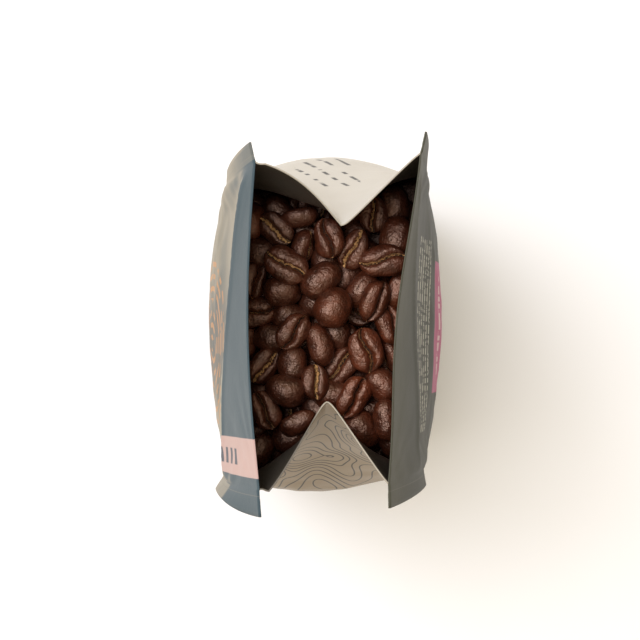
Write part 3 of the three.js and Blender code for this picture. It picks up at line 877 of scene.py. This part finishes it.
def srgb(red, green, blue):
    """A colour given as it shows on a screen, 0 to 255, as linear light."""
    linear = [c / 255 / 12.92 if c <= 10 else ((c / 255 + 0.055) / 1.055) ** 2.4
              for c in (red, green, blue)]
    return (*linear, 1.0)


class Graph:
    """Nodes and links of one material, node group or world."""

    def __init__(self, tree):
        self.tree = tree

    def node(self, kind, inputs=None, **settings):
        node = self.tree.nodes.new(kind)
        for name, value in settings.items():
            setattr(node, name, value)
        for key, value in (inputs or {}).items():
            self.feed(node.inputs[key], value)
        return node

    def feed(self, socket, value):
        if isinstance(value, bpy.types.NodeSocket):
            self.tree.links.new(value, socket)
        else:
            socket.default_value = value

    def math(self, operation, *values, clamp=False):
        node = self.node("ShaderNodeMath", operation=operation, use_clamp=clamp)
        for index, value in enumerate(values):
            self.feed(node.inputs[index], value)
        return node.outputs[0]

    def times(self, first, *others, clamp=False):
        for value in others:
            first = self.math("MULTIPLY", first, value, clamp=clamp)
        return first

    def plus(self, first, *others, clamp=False):
        for value in others:
            first = self.math("ADD", first, value, clamp=clamp)
        return first

    def minus(self, value, taken):
        return self.math("SUBTRACT", value, taken)

    def length(self, right, up):
        return self.math("SQRT", self.plus(self.times(right, right), self.times(up, up)))

    def mix(self, share, a, b, blend="MIX"):
        node = self.node("ShaderNodeMix", data_type="RGBA", blend_type=blend)
        self.feed(node.inputs[0], share)
        self.feed(node.inputs[6], a)
        self.feed(node.inputs[7], b)
        return node.outputs[2]

    def between(self, value, low, high, soft):
        """1 where value lies between low and high, with soft edges."""
        rise = self.times(self.minus(value, low), 1 / soft, clamp=True)
        fall = self.times(self.minus(high, value), 1 / soft, clamp=True)
        return self.times(rise, fall)

    def within(self, area, along, height):
        """1 inside an area of the film, with soft edges."""
        return self.times(self.between(along, *area.along), self.between(height, *area.height))

    def noise(self, scale, detail=2.0, vector=None, roughness=0.5, distortion=0.0):
        inputs = {"Scale": scale, "Detail": detail, "Roughness": roughness,
                  "Distortion": distortion}
        if vector is not None:
            inputs["Vector"] = vector
        return self.node("ShaderNodeTexNoise", inputs).outputs[0]

    def mottled(self, scale, place, a, b):
        """A colour that drifts between two."""
        return self.mix(self.noise(scale, 2, place), a, b)

    def scaled(self, coordinate, factor):
        """A coordinate times a factor, as a vector and as its three parts."""
        vector = self.node("ShaderNodeVectorMath", {0: coordinate, 1: (factor,) * 3},
                           operation="MULTIPLY").outputs[0]
        return (vector, *self.node("ShaderNodeSeparateXYZ", {0: vector}).outputs)

    def place(self):
        """The object's own coordinates in millimetres, as a vector and as x, y and z."""
        return self.scaled(self.node("ShaderNodeTexCoord").outputs["Object"], 1 / MM)

    def film_place(self):
        """Millimetres along the film and above the base, from the film's UV map."""
        uv = self.node("ShaderNodeUVMap", uv_map="film").outputs[0]
        return self.scaled(uv, UV_SCALE)[:3]


def new_group(name, inputs, outputs):
    group = bpy.data.node_groups.new(name, "ShaderNodeTree")
    for label, kind, value in inputs:
        socket = group.interface.new_socket(label, in_out="INPUT", socket_type=kind)
        socket.default_value = value
    for label, kind in outputs:
        group.interface.new_socket(label, in_out="OUTPUT", socket_type=kind)
    graph = Graph(group)
    return group, graph, graph.node("NodeGroupInput").outputs, graph.node("NodeGroupOutput").inputs


# Where the bag is full, from a height to a height with a soft edge, and the relief's shares
FILLED_HEIGHT = (4.0, 168.0, 16.0)
EMPTY_CRINKLE, DENT_HEIGHT, FINE_HEIGHT = 0.4, 10.0, 0.04


def film_surface_group():
    """Satin film: uneven gloss, faint mottling of its print, fine crinkles, and dents where full."""
    group, graph, entry, end = new_group(
        "film_surface",
        [("Colour", "NodeSocketColor", (0.5, 0.5, 0.5, 1)),
         ("Roughness", "NodeSocketFloat", 0.4)],
        [("Colour", "NodeSocketColor"), ("Roughness", "NodeSocketFloat"),
         ("Height", "NodeSocketFloat")])
    place, _, _, above = graph.place()
    wide = graph.noise(0.035, 3, place)
    fine = graph.noise(1.6, 4, place, 0.6)
    crinkle = graph.noise(0.22, 3, place, 0.55, 1.2)
    full = graph.between(above, *FILLED_HEIGHT)
    dents = graph.times(graph.noise(0.085, 1, place), full, DENT_HEIGHT)
    calm = graph.times(crinkle, graph.math("MULTIPLY_ADD", full, 1 - EMPTY_CRINKLE, EMPTY_CRINKLE))
    darker = graph.mix(0.82, entry["Colour"], (0.0, 0.0, 0.0, 1), "MULTIPLY")
    graph.feed(end["Colour"], graph.mix(graph.times(wide, 0.12), entry["Colour"], darker))
    shift = graph.times(graph.minus(wide, 0.5), 0.12)
    grain = graph.times(graph.minus(fine, 0.5), 0.05)
    graph.feed(end["Roughness"], graph.plus(entry["Roughness"], shift, grain))
    graph.feed(end["Height"], graph.plus(calm, graph.times(fine, FINE_HEIGHT), dents))
    return group


CONTOUR_STEP = 0.4
CONTOUR_SHARPNESS = 9.0


def contour_group():
    """Lines of even width where a smooth field passes each of many levels."""
    group, graph, entry, end = new_group(
        "contour_lines",
        [("Vector", "NodeSocketVector", (0, 0, 0)), ("Scale", "NodeSocketFloat", 0.03),
         ("Levels", "NodeSocketFloat", 10.0), ("Width", "NodeSocketFloat", 0.4)],
        [("Line", "NodeSocketFloat")])
    fields = []
    for shift in ((0, 0, 0), (CONTOUR_STEP, 0, 0), (0, CONTOUR_STEP, 0)):
        place = graph.node("ShaderNodeVectorMath", {0: entry["Vector"], 1: shift},
                           operation="ADD").outputs[0]
        fields.append(graph.times(graph.noise(entry["Scale"], 1, place, 0.4, 0.5), entry["Levels"]))
    rises = [graph.math("DIVIDE", graph.minus(field, fields[0]), CONTOUR_STEP)
             for field in fields[1:]]
    steepness = graph.plus(graph.length(*rises), 0.02)
    apart = graph.math("DIVIDE", graph.math("PINGPONG", fields[0], 0.5), steepness)
    inked = graph.times(graph.minus(graph.times(entry["Width"], 0.5), apart), CONTOUR_SHARPNESS)
    graph.feed(end["Line"], graph.plus(inked, 0.5, clamp=True))
    return group


def new_material(name):
    material = bpy.data.materials.new(name)
    material.use_nodes = True
    return material, Graph(material.node_tree), material.node_tree.nodes["Principled BSDF"]


def film_material(name, colour_of, roughness, shine, surface):
    """A printed film: colour_of draws its print, and surface is the shared film group."""
    material, graph, shader = new_material(name)
    look = graph.node("ShaderNodeGroup", node_tree=surface)
    graph.feed(look.inputs["Colour"], colour_of(graph))
    look.inputs["Roughness"].default_value = roughness
    graph.feed(shader.inputs["Base Color"], look.outputs["Colour"])
    graph.feed(shader.inputs["Roughness"], look.outputs["Roughness"])
    bump = graph.node("ShaderNodeBump", {"Strength": 0.35, "Distance": 0.0004,
                                         "Height": look.outputs["Height"]})
    graph.feed(shader.inputs["Normal"], bump.outputs[0])
    shader.inputs["Specular IOR Level"].default_value = shine
    return material


# Prints of the film. Places are in mm along a side from its first seam, and above the base, each
# given as a low end, a high end and the softness of its edges.
Area = namedtuple("Area", "along height")
PAST_SEAM = 200.0
PINK_LABEL = Area((67.5, 77.2, 0.15), (160.0, 206.0, 0.15))
LABEL_BARS = Area((70.4, 74.6, 0.2), (166.0, 188.0, 0.2))
# Not print: the two fin areas below get painted light, paler where the fins catch the lamps.
LIT_LEFT_FIN = Area((-40.0, -0.2, 0.15), (176.0, 300.0, 12.0))
LIT_RIGHT_FIN = Area((PANEL_LENGTH + 0.2, PAST_SEAM, 0.15), (150.0, 177.0, 1.5))
RING_MIDDLE, RING_REACH, RING_PITCH = (43.0, 146.0), 24.0, 1.7
MAGENTA_LABEL = Area((20.0, 57.0, 0.2), (92.0, 151.0, 0.2))
LABEL_HEADING = Area((25.0, 53.0, 0.3), (143.0, 146.0, 0.2))
BACK_TEXT = Area((10.0, 62.0, 0.3), (156.8, 176.0, 0.2))
TEXT_PITCH = 1.6
CREAM_STROKES = Area((18.0, 36.0, 0.5), (140.0, 164.0, 0.5))
STROKE_PITCH, STROKE_SLANT = 2.6, 0.55


def painted_grazing_sheen(graph, base, pale, start, full):
    """Painted sheen: a pale colour mixed into the base where the film is seen along its surface, in
    place of the reflection of its bright surroundings.
    """
    facing = graph.node("ShaderNodeLayerWeight", {"Blend": 0.5}).outputs["Facing"]
    share = graph.node("ShaderNodeMapRange", {"Value": facing, "From Min": start, "From Max": full},
                       interpolation_type="SMOOTHSTEP").outputs[0]
    return graph.mix(share, base, pale)


def seal_lines(graph, along):
    """Fine lines pressed into the film beside each corner seam of a panel."""
    near = graph.between(along, -1.5, -1.2, 0.12)
    far = graph.between(along, PANEL_LENGTH + 1.2, PANEL_LENGTH + 1.5, 0.12)
    return graph.times(graph.plus(near, far), 0.5)


def above_crest(graph, along, height):
    """How far above the front panel's crest a point of it lies."""
    ridge = FRONT.ridge
    slope = (ridge.first_drop - ridge.last_drop) / PANEL_LENGTH
    crest = graph.math("MULTIPLY_ADD", along, slope, BAG_HEIGHT - ridge.first_drop)
    return graph.minus(height, crest)


def front_film(graph, place, along, height):
    """The front's blue-grey, with painted sheen where it curves away from view, painted highlights
    along its crest and painted light on its fins.
    """
    base = graph.mottled(0.05, place, srgb(48, 68, 77), srgb(60, 76, 82))
    apart = above_crest(graph, along, height)
    middle = graph.between(along, 22.0, 64.0, 14.0)
    pale = graph.mix(graph.times(middle, 0.8), srgb(142, 133, 114), srgb(84, 79, 69))
    # Painted sheen below the crest and above it, standing in for light reflected at grazing view.
    belly = painted_grazing_sheen(graph, base, pale, 0.72, 0.91)
    above = painted_grazing_sheen(graph, base, srgb(134, 126, 109), 0.82, 0.97)
    colour = graph.mix(graph.between(apart, -500.0, -1.0, 5.0), above, belly)
    # Painted highlight: a thin, broken pale line along the crest, where the crease catches the light.
    uneven = graph.between(graph.noise(0.05, 2, place), 0.4, 9.0, 0.1)
    crest_glint = graph.times(graph.between(apart, -0.5, 0.4, 0.5),
                         graph.between(along, 26.0, PAST_SEAM, 12.0), uneven)
    colour = graph.mix(graph.times(crest_glint, 0.5), colour, srgb(150, 144, 126))
    # Painted highlight: a brighter pale line just above the crest on the panel's far half.
    fold = graph.times(graph.between(apart, -0.3, 0.8, 0.3), graph.between(along, 47.0, PAST_SEAM, 5.0))
    colour = graph.mix(graph.times(fold, 0.7), colour, srgb(186, 178, 156))
    # Painted light on the fins that face the lamps.
    lit_fin = graph.math("MAXIMUM", graph.times(graph.within(LIT_LEFT_FIN, along, height), 0.34),
                         graph.times(graph.within(LIT_RIGHT_FIN, along, height), 0.8))
    colour = graph.mix(lit_fin, colour, srgb(146, 138, 121))
    return graph.mix(seal_lines(graph, along), colour, srgb(120, 116, 104))


def ring_motif(graph, place, along, height):
    """Broken rings round one middle."""
    right, up = graph.minus(along, RING_MIDDLE[0]), graph.minus(height, RING_MIDDLE[1])
    radius = graph.length(right, up)
    rings = graph.between(graph.math("PINGPONG", radius, RING_PITCH), 0.9, 1.8, 0.2)
    broken = graph.between(graph.noise(0.2, 2, place), 0.47, 0.9, 0.02)
    return graph.times(rings, broken, graph.between(radius, 0.0, RING_REACH, 0.4))


def front_print(graph):
    """Blue-grey film with a pink label near one seam and a ring motif lower down."""
    place, along, height = graph.film_place()
    film = front_film(graph, place, along, height)
    label = graph.within(PINK_LABEL, along, height)
    colour = graph.mix(label, film, srgb(184, 154, 146))
    bars = graph.times(graph.within(LABEL_BARS, along, height),
                       graph.between(graph.math("PINGPONG", height, 2.6), 1.3, 3.3, 0.15))
    colour = graph.mix(bars, colour, srgb(70, 72, 80))
    motif = ring_motif(graph, place, along, height)
    return graph.mix(graph.times(motif, 0.8), colour, srgb(188, 132, 76))


def back_print(graph):
    """Olive-grey film, lighter near the mouth, with rows of small pale dashes and a magenta label. Its
    olive-grey is partly the print's own colour and partly painted shade, darker because the back lies
    on the shaded side.
    """
    place, along, height = graph.film_place()
    # Partly print, partly painted shade: the base is made darker for the shaded back side.
    base = graph.mottled(0.05, place, srgb(52, 53, 45), srgb(66, 66, 56))
    rim = graph.between(height, 187.0, 300.0, 14.0)
    colour = graph.mix(graph.times(rim, 0.8), base, srgb(76, 75, 62))
    colour = graph.mix(seal_lines(graph, along), colour, srgb(96, 93, 84))
    colour = graph.mix(graph.within(MAGENTA_LABEL, along, height), colour, srgb(158, 78, 108))
    row = graph.math("SNAP", graph.plus(height, TEXT_PITCH), 2 * TEXT_PITCH)
    dashes = graph.node("ShaderNodeCombineXYZ", {0: along, 1: row}).outputs[0]
    heading = graph.times(graph.between(graph.noise(0.5, 0, dashes), 0.45, 1.0, 0.02),
                          graph.within(LABEL_HEADING, along, height))
    colour = graph.mix(graph.times(heading, 0.75), colour, srgb(196, 176, 172))
    rows = graph.between(graph.math("PINGPONG", height, TEXT_PITCH), 0.85, 1.7, 0.1)
    text = graph.times(rows, graph.between(graph.noise(0.9, 0, dashes), 0.44, 1.0, 0.02),
                       graph.within(BACK_TEXT, along, height))
    return graph.mix(graph.times(text, 0.6), colour, srgb(186, 183, 168))


def contour_print(graph):
    """Tan film with thin dark contour lines. The tan is partly the print's own colour and partly
    painted shade, darker because this gusset faces away from the lamps.
    """
    place, _, _ = graph.film_place()
    contours = graph.node("ShaderNodeGroup", {"Vector": place, "Scale": 0.034, "Levels": 26.0,
                                              "Width": 0.38},
                          node_tree=bpy.data.node_groups["contour_lines"])
    # Partly print, partly painted shade: a darker tan for the gusset that faces away from the lamps.
    base = graph.mottled(0.06, place, srgb(147, 132, 110), srgb(138, 123, 102))
    return graph.mix(graph.times(contours.outputs["Line"], 0.85), base, srgb(40, 40, 40))


def cream_print(graph):
    """Cream film, bare but for a few dark strokes."""
    place, along, height = graph.film_place()
    base = graph.mottled(0.06, place, srgb(200, 196, 188), srgb(190, 185, 176))
    slant = graph.plus(along, graph.times(height, STROKE_SLANT))
    row = graph.math("SNAP", slant, 2 * STROKE_PITCH)
    dashes = graph.node("ShaderNodeCombineXYZ", {0: row, 1: height}).outputs[0]
    strokes = graph.times(
        graph.between(graph.math("PINGPONG", slant, STROKE_PITCH), 1.9, 3.0, 0.3),
        graph.between(graph.noise(0.35, 1, dashes), 0.5, 1.0, 0.03),
        graph.within(CREAM_STROKES, along, height))
    return graph.mix(graph.times(strokes, 0.85), base, srgb(40, 42, 46))


def inside_film(graph):
    """The charcoal film that the bag shows inside."""
    return graph.mottled(0.04, graph.place()[0], srgb(58, 53, 46), srgb(72, 66, 58))


def cut_edge(graph):
    """The pale cut edge of the film, with painted shade over the front right quarter."""
    place, right, back, _ = graph.place()
    pale = graph.mottled(0.3, place, srgb(176, 167, 150), srgb(158, 149, 132))
    # Painted shade on the edge over the front right quarter.
    shaded = graph.times(graph.between(right, 0.0, 100.0, 2.0),
                         graph.between(back, -100.0, -1.0, 2.0))
    return graph.mix(graph.times(shaded, 0.75), pale, srgb(62, 58, 50))


def roast(graph, tone, mottle, pebble):
    """A bean's own brown, in patches, with painted shade in the hollows of its pebbled relief."""
    dark = graph.mix(tone, srgb(32, 13, 6), srgb(66, 28, 13))
    light = graph.mix(tone, srgb(48, 20, 10), srgb(110, 49, 24))
    patches = graph.times(graph.minus(mottle, 0.32), 2.6, clamp=True)
    # Painted shade where the pebble relief is low.
    hollow_shade = graph.between(pebble, -1.0, 0.42, 0.16)
    return graph.mix(graph.times(hollow_shade, 0.5), graph.mix(patches, dark, light), srgb(26, 12, 7))


def golden_skin(graph, ragged, torn, lean, chaff):
    """Where torn skin is left: a strip on one side of the cut, longer where chaff is high."""
    strip = graph.between(ragged, 0.08, 0.48, 0.08)
    one_side = graph.times(graph.plus(lean, 0.35), 3.0, clamp=True)
    least = graph.minus(0.57, graph.times(chaff, 0.34))
    return graph.times(strip, one_side, graph.between(torn, least, 2.0, 0.08))


def bean_material():
    """Roasted beans: each its own brown, pebbled, with painted shade in the cut and torn golden skin in
    it, and painted shade on the beans that lie lower in the heap.
    """
    material, graph, shader = new_material("roasted_beans")
    place, _, _, above = graph.place()
    tone, cut, lean, chaff = (
        graph.node("ShaderNodeAttribute", attribute_name=name).outputs["Fac"]
        for name in ("tone", "cut", "lean", "chaff"))
    mottle = graph.noise(0.3, 4, place, 0.6)
    pebble = graph.noise(0.9, 3, place, 0.55, 0.3)
    fine = graph.noise(2.1, 2, place, 0.5)
    torn = graph.noise(1.5, 4, place, 0.7)
    ragged = graph.plus(cut, graph.times(graph.minus(torn, 0.5), 1.4))
    # Painted shade down in the cut.
    shade = graph.between(ragged, -1.0, 0.34, 0.3)
    skin = golden_skin(graph, ragged, torn, lean, chaff)
    colour = graph.mix(graph.times(shade, 0.9), roast(graph, tone, mottle, pebble), srgb(14, 7, 4))
    golden = graph.mix(pebble, srgb(198, 128, 62), srgb(250, 204, 138))
    colour = graph.mix(skin, colour, golden)
    # Painted shade: the beans lower in the heap are darkened.
    deep_shade = graph.between(above, -10.0, 165.0, 7.0)
    colour = graph.mix(graph.times(deep_shade, 0.6), colour, srgb(22, 9, 5))
    rough = graph.plus(0.24, graph.times(mottle, 0.3), graph.times(shade, 0.7))
    relief = graph.plus(pebble, graph.times(fine, 0.42), graph.times(skin, 0.8))
    bump = graph.node("ShaderNodeBump", {"Strength": 1.0, "Distance": 0.00034, "Height": relief})
    graph.feed(shader.inputs["Base Color"], colour)
    graph.feed(shader.inputs["Roughness"], rough)
    graph.feed(shader.inputs["Normal"], bump.outputs[0])
    shader.inputs["IOR"].default_value = 1.6
    shader.inputs["Specular IOR Level"].default_value = 1.0
    shader.inputs["Specular Tint"].default_value = (1.0, 0.65, 0.47, 1)
    return material


def floor_material():
    material, graph, shader = new_material("floor_paper")
    paper = graph.mottled(0.01, graph.place()[0], srgb(244, 243, 241), srgb(247, 246, 244))
    graph.feed(shader.inputs["Base Color"], paper)
    shader.inputs["Roughness"].default_value = 0.9
    return material


# The scene, in metres

FLOOR_HALF = 3.0
WORLD_COLOUR = (1.0, 0.90, 0.74, 1)
WORLD_STRENGTH = 1.16
WORLD_LIT_FROM = (-0.45, -0.89, 0.0)
WORLD_LEAN, WORLD_FALL = 0.30, 0.42
LAMP_COLOUR = (0.90, 0.96, 1.13)
LAMP_SIZE = 1.0
LAMP_AIM = (0, 0, 0.15)
LAMPS = {"key": ((-0.28, -0.44, 2.0), 17.5), "fill": ((-0.62, -1.0, 1.8), 11.5)}
CAMERA_PLACE = (-0.0013, -0.0013, 0.635)
CAMERA_LENS, CAMERA_SENSOR = 99.9, 36.0


def add_object(name, mesh, materials):
    thing = bpy.data.objects.new(name, mesh)
    bpy.context.scene.collection.objects.link(thing)
    for material in materials:
        mesh.materials.append(material)
    return thing


def build_bag():
    surface = film_surface_group()
    contour_group()
    prints = [("front", front_print, 0.45, 0.3), ("gusset_right", contour_print, 0.5, 0.3),
              ("back", back_print, 0.55, 0.25), ("gusset_left", cream_print, 0.5, 0.3),
              ("inside", inside_film, 0.4, 0.4), ("edge", cut_edge, 0.5, 0.4)]
    materials = [film_material("film_" + name, colour_of, roughness, shine, surface)
                 for name, colour_of, roughness, shine in prints]
    film = add_object("bag_film", build_film(), materials)
    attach(film, "root")
    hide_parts("bag")
    heap = add_object("bean_heap", build_beans(), [bean_material()])
    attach(heap, "root")
    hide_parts("beans")


def build_floor():
    corners = [(x * FLOOR_HALF, y * FLOOR_HALF, 0) for x, y in ((-1, -1), (1, -1), (1, 1), (-1, 1))]
    mesh = bpy.data.meshes.new("floor")
    mesh.from_pydata(corners, [], [(0, 1, 2, 3)])
    add_object("floor", mesh, [floor_material()])


def build_world():
    """Warm light from all around, stronger from the front left and weaker from above."""
    world = bpy.data.worlds.new("studio")
    bpy.context.scene.world = world
    world.use_nodes = True
    graph = Graph(world.node_tree)
    way = graph.node("ShaderNodeTexCoord").outputs["Generated"]
    toward = graph.node("ShaderNodeVectorMath", {0: way, 1: WORLD_LIT_FROM},
                        operation="DOT_PRODUCT").outputs["Value"]
    up = graph.node("ShaderNodeSeparateXYZ", {0: way}).outputs[2]
    strength = graph.minus(graph.plus(WORLD_STRENGTH, graph.times(toward, WORLD_LEAN)),
                           graph.times(up, WORLD_FALL))
    back = world.node_tree.nodes["Background"]
    back.inputs[0].default_value = WORLD_COLOUR
    graph.feed(back.inputs[1], strength)


def aim(thing, target):
    way = np.array(target) - np.array(thing.location)
    thing.rotation_euler = (math.atan2(math.hypot(way[0], way[1]), -way[2]), 0,
                            math.atan2(way[1], way[0]) - math.pi / 2)


def build_lamps():
    """Two large soft lamps high up to the front left."""
    for name, (place, energy) in LAMPS.items():
        lamp = bpy.data.lights.new(name, "AREA")
        lamp.shape = "DISK"
        lamp.size = LAMP_SIZE
        lamp.energy = energy
        lamp.color = LAMP_COLOUR
        light = bpy.data.objects.new(name, lamp)
        light.location = place
        bpy.context.scene.collection.objects.link(light)
        aim(light, LAMP_AIM)


def build_camera():
    """A camera straight above, turned so that the front panel is on the picture's left."""
    lens = bpy.data.cameras.new("camera")
    lens.sensor_width = CAMERA_SENSOR
    lens.lens = CAMERA_LENS
    camera = bpy.data.objects.new("camera", lens)
    camera.location = CAMERA_PLACE
    camera.rotation_euler = (0, 0, math.pi / 2)
    bpy.context.scene.collection.objects.link(camera)
    bpy.context.scene.camera = camera


build_bag()
build_floor()
build_world()
build_lamps()
build_camera()
bpy.context.scene.view_settings.view_transform = "Standard"
